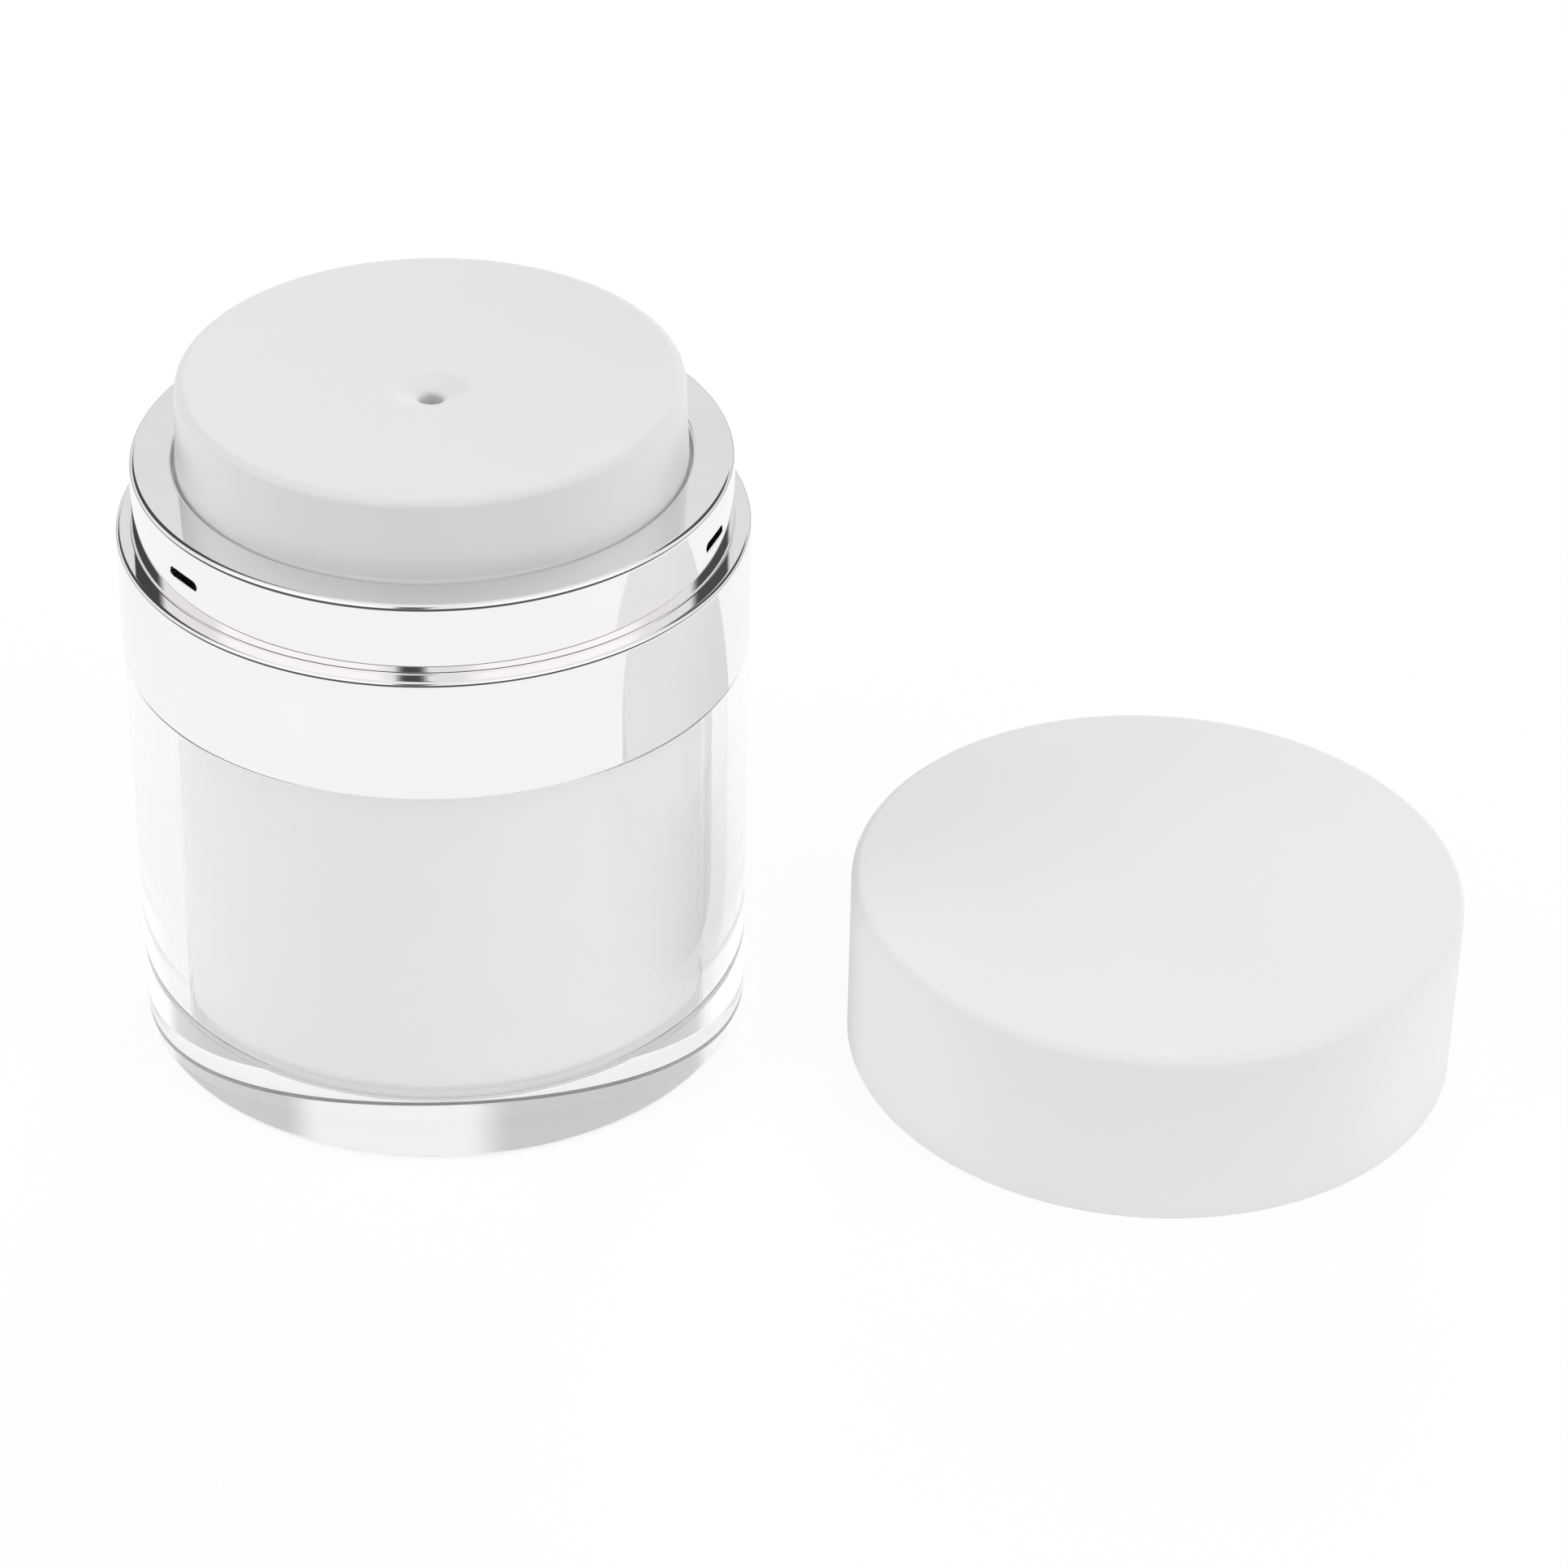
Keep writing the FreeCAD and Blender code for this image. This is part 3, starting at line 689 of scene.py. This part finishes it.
def slot_tool(sizes):
    """Cutter for one round-ended slot that widens at its mouth, facing +X."""
    radius = top("collar", Y) - sizes.ledge_width
    middle = bottom("collar", Z) + sizes.band_height + sizes.slot_rise
    run = (sizes.slot_length - sizes.slot_height) / 2
    half = sizes.slot_height / 2
    clear = sizes.upper_wall
    depths = [
        (radius - 2 * sizes.upper_wall, half),
        (radius - sizes.slot_bevel, half),
        (radius + clear, half + sizes.slot_bevel + clear),
    ]
    steps = 24
    rings = []
    for depth, reach in depths:
        ring = []
        for step in range(steps):
            angle = 2 * math.pi * (step + 0.5) / steps
            side = math.copysign(run, math.cos(angle))
            ring.append((depth, side + reach * math.cos(angle), middle + reach * math.sin(angle)))
        rings.append(ring)
    return copies_around(lofted("slot", rings), sizes.slot_count, sizes.slot_angle)


def plate_outline(sizes):
    """Push plate from its outlet over the top, down the skirt and back under it."""
    rim = top("push_plate", Z) + sizes.corner_rise
    low = rim - sizes.hollow
    foot = bottom("push_plate", Z)
    catch = top("push_plate", Y)
    under = low - sizes.thickness
    narrow = sizes.skirt_radius - sizes.draft
    guide_outer = sizes.guide_radius + sizes.guide_wall
    turn = (narrow + sizes.dimple_radius) / 2
    return outline([
        (sizes.outlet_radius, under - sizes.spigot_length),
        (sizes.spigot_radius, under - sizes.spigot_length),
        (sizes.spigot_radius, under),
        (sizes.guide_radius, under),
        (sizes.guide_radius, under - sizes.guide_depth),
        (guide_outer, under - sizes.guide_depth),
        (guide_outer, under),
        (sizes.rib_start, under),
        (narrow - sizes.wall, rim - sizes.thickness),
        (sizes.skirt_radius - sizes.wall, foot),
        (catch, foot),
        (catch, foot + sizes.catch_height),
        (sizes.skirt_radius, foot + sizes.catch_height),
        (narrow, rim, sizes.edge_radius),
        (turn, low + sizes.hollow_turn_rise, sizes.hollow_turn_radius),
        (sizes.dimple_radius, low, sizes.dimple_rim),
        (sizes.outlet_radius, low - sizes.dimple_depth, sizes.outlet_edge),
    ])


def rib_tool(sizes):
    """Tapered ribs under the plate, which run out to the skirt."""
    rim_under = top("push_plate", Z) + sizes.corner_rise - sizes.thickness
    under = rim_under - sizes.hollow
    inside = sizes.thickness / 2
    end = sizes.skirt_radius - sizes.wall / 2 - sizes.draft
    half = sizes.rib_thickness / 2
    profile = [
        (sizes.rib_start, under + inside),
        (sizes.rib_start, under - sizes.rib_thickness),
        (end, rim_under - sizes.rib_depth),
        (end, rim_under + inside),
    ]
    rings = [[(reach, side, height) for reach, height in profile] for side in (half, -half)]
    return copies_around(lofted("rib", rings), sizes.rib_count, 0.0)


def lid_outline(sizes):
    """Plain lid that stands on its open rim."""
    radius = top("lid", Y)
    height = top("lid", Z)
    foot = bottom("lid", Z)
    roof = height - sizes.roof
    return outline([
        (0, roof),
        (sizes.bore_radius, roof, sizes.rim_radius),
        (sizes.bore_radius, foot, sizes.rim_radius),
        (radius, foot, sizes.rim_radius),
        (radius, height, sizes.edge_radius),
        (0, height),
    ])


def lid_middle():
    """Distance of the lid's axis from the jar's."""
    return (bottom("lid", X) + top("lid", X)) / 2


def lug_tool(sizes, collar):
    """Short bars inside the lid that click into the collar's slots."""
    tip = sizes.bore_radius - sizes.lug_reach
    root = sizes.bore_radius + sizes.rim_radius
    half = sizes.lug_height / 2
    rings = []
    for side in (-1, 1):
        ring = []
        for reach, height in ((tip, -half / 2), (root, -half), (root, half), (tip, half / 2)):
            ring.append((reach, side * sizes.lug_length / 2, collar.slot_rise + height))
        rings.append(ring)
    return copies_around(lofted("lug", rings[::-1]), collar.slot_count, collar.slot_angle)


def coil_mesh(sizes):
    """Spring wire as one tube from end to end, with closer turns at both ends."""
    foot = bottom("return_spring", Z) + sizes.wire_radius
    head = top("return_spring", Z) - sizes.wire_radius
    middle_radius = top("return_spring", Y) - sizes.wire_radius
    around, along = 20, 64
    open_pitch = (head - foot - 2 * sizes.end_pitch) / (sizes.turns - 2)
    knots = (0, 1, sizes.turns - 1, sizes.turns)
    levels = (foot, foot + sizes.end_pitch, head - sizes.end_pitch, head)
    turns = np.linspace(0, sizes.turns, sizes.turns * along + 1)
    heights = np.interp(turns, knots, levels)
    lead = open_pitch / (2 * math.pi)
    rings = []
    for turn, height in zip(turns, heights):
        angle = turn * 2 * math.pi
        outwards = Vector((math.cos(angle), math.sin(angle), 0))
        tangent = Vector((-math.sin(angle), math.cos(angle), lead / middle_radius)).normalized()
        upright = outwards.cross(tangent)
        centre = outwards * middle_radius + Vector((0, 0, height))
        ring = []
        for step in range(around):
            turned_by = 2 * math.pi * step / around
            spoke = outwards * math.cos(turned_by) + upright * math.sin(turned_by)
            ring.append(tuple(centre + spoke * sizes.wire_radius))
        rings.append(ring)
    return lofted("spring_coil", rings)


# Studio

# Azimuth, elevation, radius and softness in degrees, and dimming, of patches round the room, where a dimming
# below nought brightens
STUDIO_PATCHES = [
    (-46.0, 36, 24, 10, -0.26),
    (58.0, 36, 24, 10, -0.26),
    (-139.5, 40, 16, 6, 0.92),
    (145.5, 36, 13, 6, 0.90),
    (0.0, 36, 4, 3, 0.92),
    (0.0, 46, 4, 3, 0.92),
    (0.0, 58, 4, 3, 0.92),
    (180.0, 30, 25, 30, 0.12),
]

# Name, azimuth and elevation in degrees, side in metres, watts, and whether it shows through the clear jar
SOFT_LAMPS = [
    ("left_softbox", -80, 40, 0.6, 0.6, True),
    ("right_softbox", 80, 35, 0.6, 1.1, True),
    ("top_softbox", 180, 70, 0.6, 0.3, True),
    ("left_fill", -54, 12, 0.3, 2.5, False),
    ("right_fill", 64, 12, 0.3, 2.0, False),
    ("back_fill", 176, 20, 0.3, 2.8, False),
]
LAMP_DISTANCE = 1.0

FRONT_AZIMUTH = 5.5
FRONT_SPREAD = (-0.4, 0.6)
FRONT_RISE = 0.42
BELT_EDGE = (-0.02, 0.10)
BELT_DARKEST = 0.10

BEYOND_SHEET = 0.12
SHEET_EDGE = 1.06


def feed(tree, socket, value):
    """Links a varying value to a socket, or sets a plain number on it."""
    if isinstance(value, bpy.types.NodeSocket):
        tree.links.new(value, socket)
    else:
        socket.default_value = value


def arithmetic(tree, operation, first, second):
    """Result of one operation on two values."""
    node = node_of(tree, "ShaderNodeMath", operation=operation)
    feed(tree, node.inputs[0], first)
    feed(tree, node.inputs[1], second)
    return node.outputs[0]


def choose(tree, mask, otherwise, chosen):
    """One value where the mask is nought and another where it is one."""
    mix = node_of(tree, "ShaderNodeMix", data_type="FLOAT")
    tree.links.new(mask, mix.inputs["Factor"])
    feed(tree, mix.inputs["A"], otherwise)
    feed(tree, mix.inputs["B"], chosen)
    return mix.outputs["Result"]


def choose_for_ray(tree, kind, otherwise, chosen):
    """One value for rays of a kind and another for all others."""
    mask = tree.nodes.new("ShaderNodeLightPath").outputs[kind]
    return choose(tree, mask, otherwise, chosen)


def soft_step(tree, value, span, levels):
    """Soft change between two levels while a value goes from one end of a span to the other."""
    step = node_of(
        tree, "ShaderNodeMapRange", interpolation_type="SMOOTHSTEP",
        From_Min=span[0], From_Max=span[1], To_Min=levels[0], To_Max=levels[1])
    tree.links.new(value, step.inputs["Value"])
    return step.outputs["Result"]


def towards(azimuth, elevation):
    """Direction at an azimuth and elevation in degrees, where azimuth nought is -Y."""
    a, e = math.radians(azimuth), math.radians(elevation)
    return Vector((math.sin(a) * math.cos(e), -math.cos(a) * math.cos(e), math.sin(e)))


def nearness(tree, way, azimuth, elevation):
    """Cosine of the angle between a way and a direction in degrees."""
    dot = node_of(tree, "ShaderNodeVectorMath", operation="DOT_PRODUCT")
    tree.links.new(way, dot.inputs[0])
    dot.inputs[1].default_value = towards(azimuth, elevation)
    return dot.outputs["Value"]


def front_belt(tree, way):
    """Brightness of the room above its dark horizon, which stands higher in front, behind the camera."""
    rise = soft_step(tree, nearness(tree, way, FRONT_AZIMUTH, 0), FRONT_SPREAD, (0.0, -FRONT_RISE))
    split = tree.nodes.new("ShaderNodeSeparateXYZ")
    tree.links.new(way, split.inputs[0])
    height = arithmetic(tree, "ADD", split.outputs["Z"], rise)
    return soft_step(tree, height, BELT_EDGE, (BELT_DARKEST, 1.0))


def dim_patch(tree, way, level, azimuth, elevation, radius, softness, dimming):
    """Dims a round patch of the room, on top of a level that may be dimmed already."""
    span = (math.cos(math.radians(radius + softness)), math.cos(math.radians(radius)))
    shade = soft_step(tree, nearness(tree, way, azimuth, elevation), span, (1.0, 1.0 - dimming))
    return arithmetic(tree, "MULTIPLY", shade, level)


def studio_sky(studio):
    """World: white for the camera, and else a bright room with patches, which are fainter through glass."""
    world = bpy.data.worlds.new("studio_sky")
    world.use_nodes = True
    bpy.context.scene.world = world
    tree = world.node_tree
    background = tree.nodes["Background"]
    background.inputs["Color"].default_value = (1, 1, 1, 1)
    way = tree.nodes.new("ShaderNodeTexCoord").outputs["Generated"]
    room = arithmetic(tree, "MULTIPLY", front_belt(tree, way), studio.sky)
    behind = studio.glass_sky
    for *patch, dimming in STUDIO_PATCHES:
        room = dim_patch(tree, way, room, *patch, dimming)
        behind = dim_patch(tree, way, behind, *patch, dimming * studio.glass_shade)
    strength = choose_for_ray(tree, "Is Transmission Ray", room, behind)
    strength = choose_for_ray(tree, "Is Camera Ray", strength, 1.0)
    tree.links.new(strength, background.inputs["Strength"])


def round_sheet(tree, away, reach):
    """One on a round sheet out to a reach, and nought past its soft edge."""
    return soft_step(tree, away, (reach, SHEET_EDGE * reach), (1.0, 0.0))


def floor_paper(studio, level):
    """Pale sheet that keeps a soft shadow. Beyond it, mirrors see it dark, and the camera and glass white."""
    material = bpy.data.materials.new("studio_floor")
    material.use_nodes = True
    material.cycles.emission_sampling = "NONE"
    tree = material.node_tree
    tree.nodes.remove(tree.nodes["Principled BSDF"])
    away = node_of(tree, "ShaderNodeVectorMath", operation="DISTANCE")
    tree.links.new(tree.nodes.new("ShaderNodeTexCoord").outputs["Object"], away.inputs[0])
    away.inputs[1].default_value = (lid_middle() / 2, studio.sheet_reach - studio.sheet_front, level)
    sheet = round_sheet(tree, away.outputs["Value"], studio.sheet_reach)
    mirrored = round_sheet(tree, away.outputs["Value"], studio.sheet_reach + studio.mirror_margin)
    tone = node_of(tree, "ShaderNodeVectorMath", operation="SCALE")
    tone.inputs[0].default_value = studio.floor
    tree.links.new(choose(tree, sheet, BEYOND_SHEET, 1.0), tone.inputs["Scale"])
    pale = tree.nodes.new("ShaderNodeBsdfDiffuse")
    tree.links.new(tone.outputs["Vector"], pale.inputs["Color"])
    white = tree.nodes.new("ShaderNodeEmission")
    in_mirrors = choose(tree, mirrored, 0.0, studio.floor_white)
    in_glass = choose(tree, sheet, 1.0, studio.glass_white)
    to_camera = choose(tree, sheet, 1.0, studio.floor_white)
    plain = choose_for_ray(tree, "Is Glossy Ray", 0.0, in_mirrors)
    plain = choose_for_ray(tree, "Is Transmission Ray", plain, in_glass)
    plain = choose_for_ray(tree, "Is Camera Ray", plain, to_camera)
    mix = tree.nodes.new("ShaderNodeMixShader")
    tree.links.new(plain, mix.inputs["Fac"])
    tree.links.new(pale.outputs[0], mix.inputs[1])
    tree.links.new(white.outputs[0], mix.inputs[2])
    tree.links.new(mix.outputs[0], tree.nodes["Material Output"].inputs["Surface"])
    return material


def studio_floor(studio):
    """Square floor under the jar and its lid."""
    half = studio.floor_size / 2
    level = bottom("outer_jar", Z) - studio.floor_drop
    corners = [(-half, -half, level), (half, -half, level), (half, half, level), (-half, half, level)]
    floor = mesh_object("studio_floor", corners, [(0, 1, 2, 3)])
    floor.data.materials.append(floor_paper(studio, level))


def soft_lamp(name, azimuth, elevation, size, watts, through_glass):
    """Square softbox that faces the jar and its lid, and that mirrors don't show."""
    data = bpy.data.lights.new(name, "AREA")
    data.shape = "SQUARE"
    data.size = size
    data.energy = watts
    lamp = bpy.data.objects.new(name, data)
    lamp.visible_glossy = False
    lamp.visible_transmission = through_glass
    middle = Vector((lid_middle() / 2, 0, top("lid", Z)))
    back = towards(azimuth, elevation)
    turn = back.to_track_quat("Z", "Y").to_matrix().to_4x4()
    lamp.matrix_world = Matrix.Translation(middle + back * LAMP_DISTANCE) @ turn
    bpy.context.scene.collection.objects.link(lamp)


def studio_camera(studio):
    """Camera at the place that was fitted to the photograph's outlines."""
    data = bpy.data.cameras.new("photo_camera")
    data.sensor_fit = "HORIZONTAL"
    data.angle = studio.view_angle
    data.clip_start = 10 * MM
    camera = bpy.data.objects.new("photo_camera", data)
    azimuth = math.degrees(studio.azimuth)
    back = towards(azimuth, math.degrees(studio.elevation))
    right = towards(azimuth + 90, 0)
    level = Matrix((right, back.cross(right), back)).transposed()
    turn = (level @ Matrix.Rotation(studio.roll, 3, "Z")).to_4x4()
    camera.matrix_world = Matrix.Translation(Vector(studio.aim) + back * studio.distance) @ turn
    bpy.context.scene.collection.objects.link(camera)
    bpy.context.scene.camera = camera


# Operators, one for each piece or group of like pieces

class AIRLESS_JAR_OT_clear_jar(bpy.types.Operator):
    """Clear jar with its screw neck"""

    bl_idname = "airless_jar.clear_jar"
    bl_label = "Clear Jar"

    def execute(self, context):
        settings = context.scene.airless_jar
        bands = jar_outline(settings.jar)
        jar = turned("jar_shell", bands, thread_relief(settings.jar))
        smooth(jar, bands)
        smooth_thread(jar, settings.jar)
        finish_piece(jar, "jar", "clear_acrylic", clear_acrylic(settings.finishes.acrylic), "outer_jar")
        return {"FINISHED"}


class AIRLESS_JAR_OT_inner_cup(bpy.types.Operator):
    """White cup inside the jar"""

    bl_idname = "airless_jar.inner_cup"
    bl_label = "Inner Cup"

    def execute(self, context):
        settings = context.scene.airless_jar
        bands = cup_outline(settings.jar)
        cup = combine(turned("cup_shell", bands), vent_tool(settings.jar), "DIFFERENCE")
        smooth(cup, bands)
        white = moulded_plastic("white_cup", settings.finishes.cup, (0.30, 0.36), 0.1 * MM, 0.0008 * MM)
        finish_piece(cup, "jar", "white_cup", white, "inner_cup")
        return {"FINISHED"}


class AIRLESS_JAR_OT_collar(bpy.types.Operator):
    """Mirror-silver collar with the slots for the lid's lugs"""

    bl_idname = "airless_jar.collar"
    bl_label = "Collar"

    def execute(self, context):
        settings = context.scene.airless_jar
        bands = collar_outline(settings.collar)
        collar = combine(turned("collar_shell", bands), slot_tool(settings.collar), "DIFFERENCE")
        smooth(collar, bands)
        finish_piece(collar, "head", "mirror_silver", mirror_silver(settings.finishes.silver), "collar")
        return {"FINISHED"}


class AIRLESS_JAR_OT_push_plate(bpy.types.Operator):
    """White push plate with its dimpled outlet and the ribs under it"""

    bl_idname = "airless_jar.push_plate"
    bl_label = "Push Plate"

    def execute(self, context):
        settings = context.scene.airless_jar
        bands = plate_outline(settings.plate)
        plate = combine(turned("plate_shell", bands), rib_tool(settings.plate), "UNION")
        smooth(plate, bands)
        white = moulded_plastic("white_plate", settings.finishes.plate, (0.30, 0.36), 0.1 * MM, 0.0008 * MM)
        finish_piece(plate, "plunger", "white_plate", white, "push_plate")
        return {"FINISHED"}


class AIRLESS_JAR_OT_lid(bpy.types.Operator):
    """White lid beside the jar, and the inner cap in it"""

    bl_idname = "airless_jar.lid"
    bl_label = "Lid"

    def execute(self, context):
        settings = context.scene.airless_jar
        bands = lid_outline(settings.lid)
        lid = combine(turned("lid_shell", bands), lug_tool(settings.lid, settings.collar), "UNION")
        place(lid, lid_middle())
        smooth(lid, bands, lid_middle())
        white = moulded_plastic("white_lid", settings.finishes.lid, (0.46, 0.54), 0.12 * MM, 0.003 * MM)
        finish_piece(lid, "lid_set", "white_lid", white, "lid")
        liner = moulded_plastic("liner_white", settings.finishes.closure, (0.4, 0.5), 0.5 * MM, 0.006 * MM)
        dress_nodes(liner, "lid_liner")
        return {"FINISHED"}


class AIRLESS_JAR_OT_closure(bpy.types.Operator):
    """Moulded white pieces of the pump: deck, cylinder, cap, stem and tip"""

    bl_idname = "airless_jar.closure"
    bl_label = "Pump Closure"

    def execute(self, context):
        finishes = context.scene.airless_jar.finishes
        white = moulded_plastic("white_closure", finishes.closure, (0.38, 0.5), 0.4 * MM, 0.006 * MM)
        dress_nodes(white, "pump_deck", "pump_cylinder", "cylinder_cap", "stem", "stem_tip")
        return {"FINISHED"}


class AIRLESS_JAR_OT_seals(bpy.types.Operator):
    """Follower, piston, inlet flap and gaskets"""

    bl_idname = "airless_jar.seals"
    bl_label = "Seals"

    def execute(self, context):
        finishes = context.scene.airless_jar.finishes
        milky = moulded_plastic("seal_white", finishes.seal, (0.36, 0.5), 0.6 * MM, 0.006 * MM)
        dress_nodes(milky, "follower_piston", "piston_seal", "inlet_valve")
        dress_nodes(soft_rubber(finishes.gasket), "deck_gasket", "cylinder_gasket")
        return {"FINISHED"}


class AIRLESS_JAR_OT_return_spring(bpy.types.Operator):
    """Steel spring that closes up as the plate goes down"""

    bl_idname = "airless_jar.return_spring"
    bl_label = "Return Spring"

    def execute(self, context):
        settings = context.scene.airless_jar
        coil = coil_mesh(settings.spring)
        coil.data.shade_smooth()
        finish_piece(coil, "head", "spring_steel", drawn_steel(settings.finishes.steel), "return_spring")
        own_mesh(coil)
        return {"FINISHED"}


class AIRLESS_JAR_OT_studio(bpy.types.Operator):
    """Pale floor, soft light and the camera"""

    bl_idname = "airless_jar.studio"
    bl_label = "Studio"

    def execute(self, context):
        studio = context.scene.airless_jar.studio
        context.scene.view_settings.view_transform = "Standard"
        context.scene.cycles.blur_glossy = 0.0
        context.scene.cycles.max_bounces = 32
        context.scene.cycles.glossy_bounces = 24
        context.scene.cycles.transmission_bounces = 24
        studio_sky(studio)
        studio_floor(studio)
        for lamp in SOFT_LAMPS:
            soft_lamp(*lamp)
        studio_camera(studio)
        return {"FINISHED"}


OPERATORS = (
    AIRLESS_JAR_OT_clear_jar,
    AIRLESS_JAR_OT_inner_cup,
    AIRLESS_JAR_OT_collar,
    AIRLESS_JAR_OT_push_plate,
    AIRLESS_JAR_OT_lid,
    AIRLESS_JAR_OT_closure,
    AIRLESS_JAR_OT_seals,
    AIRLESS_JAR_OT_return_spring,
    AIRLESS_JAR_OT_studio,
)


class VIEW3D_PT_airless_jar(bpy.types.Panel):
    """Sidebar panel that lists the pieces"""

    bl_label = "Airless Jar"
    bl_space_type = "VIEW_3D"
    bl_region_type = "UI"
    bl_category = "Airless Jar"

    def draw(self, context):
        for operator in OPERATORS:
            self.layout.operator(operator.bl_idname)


CLASSES = (
    JarSizes, CollarSizes, PlateSizes, LidSizes, SpringSizes, Finishes, Studio, AirlessJar,
    *OPERATORS, VIEW3D_PT_airless_jar,
)


def register():
    """Registers the classes and hangs the settings on the scene."""
    for kind in CLASSES:
        bpy.utils.register_class(kind)
    bpy.types.Scene.airless_jar = PointerProperty(type=AirlessJar)


def unregister():
    """Takes the settings off the scene and unregisters the classes."""
    del bpy.types.Scene.airless_jar
    for kind in reversed(CLASSES):
        bpy.utils.unregister_class(kind)


def main():
    """Builds every piece and the studio."""
    register()
    bpy.ops.airless_jar.clear_jar()
    bpy.ops.airless_jar.inner_cup()
    bpy.ops.airless_jar.collar()
    bpy.ops.airless_jar.push_plate()
    bpy.ops.airless_jar.lid()
    bpy.ops.airless_jar.closure()
    bpy.ops.airless_jar.seals()
    bpy.ops.airless_jar.return_spring()
    bpy.ops.airless_jar.studio()


if __name__ == "__main__":
    main()
